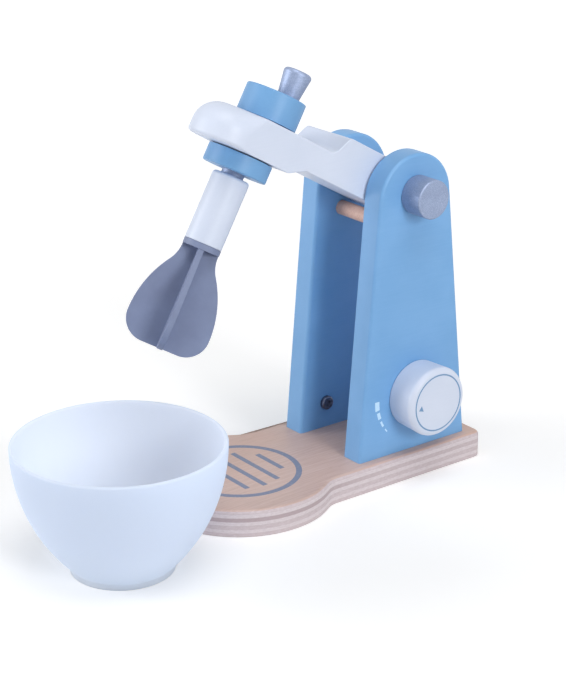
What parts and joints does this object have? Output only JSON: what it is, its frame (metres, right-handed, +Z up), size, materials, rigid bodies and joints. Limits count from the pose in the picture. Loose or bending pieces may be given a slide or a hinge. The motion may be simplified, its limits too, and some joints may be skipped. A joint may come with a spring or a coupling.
{
  "type": "wooden toy stand mixer",
  "caption": "Wooden toy stand mixer: a tilting arm between two side panels on a plywood base carries a hand-cranked beater, with a turning dial and a loose frosted bowl.",
  "frame": {"origin": "on the base's underside, straight below the arm's pivot and midway between the side panels", "axes": "+Z up; +X from the nose and the bowl towards the rear edge; -Y towards the panel with the dial"},
  "size_m": [0.2879, 0.1335, 0.23],
  "materials": {
    "plywood": "clear lacquered birch plywood, plies showing on the edge",
    "dowel_wood": "plain beech dowel",
    "blue_paint": "satin sky-blue paint on wood",
    "white_paint": "satin white paint on wood",
    "silver_paint": "silver metallic paint on wood",
    "beater_plastic": "moulded, grey-blue, softly grained",
    "bowl_plastic": "frosted translucent white",
    "nylon": "natural nylon",
    "screw_steel": "dark zinc"
  },
  "bodies": {
    "stand": {"base_board": "plywood", "side_panel_dial": "blue_paint", "side_panel_plain": "blue_paint", "base_screws": "screw_steel", "stop_dowel": "dowel_wood", "dial_washer": "nylon", "panel_screw": "screw_steel"},
    "arm": {"mixer_arm": "white_paint", "pivot_dowel": "dowel_wood", "pivot_cap_dial": "silver_paint", "pivot_cap_plain": "silver_paint", "pivot_washers": "nylon", "spindle_washers": "nylon"},
    "spindle": {"spindle_dowel": "silver_paint", "crank_disc": "blue_paint", "crank_knob": "silver_paint", "knob_peg": "dowel_wood", "lower_collar": "blue_paint", "beater_holder": "white_paint", "beater": "beater_plastic"},
    "dial": {"speed_dial": "white_paint", "dial_screw": "screw_steel"},
    "bowl": {"bowl": "bowl_plastic"}
  },
  "joints": [
    {"name": "arm_tilt", "type": "hinge", "parent": "stand", "child": "arm", "pos_m": [0, 0, 0.1604], "axis": [0, 1, 0], "range_deg": [-29.6, 18]},
    {"name": "spindle_turn", "type": "hinge", "parent": "arm", "child": "spindle", "pos_m": [-0.07999, 0, 0.20584], "axis": [0.4939, 0, 0.8695], "continuous": true},
    {"name": "dial_turn", "type": "hinge", "parent": "stand", "child": "dial", "pos_m": [0.003, -0.033, 0.0474], "axis": [0, -1, 0], "continuous": true},
    {"name": "bowl_slide", "type": "slide", "parent": "stand", "child": "bowl", "axis": [-0.68, -0.7332, 0], "range_m": [0, 0.1]}
  ]
}
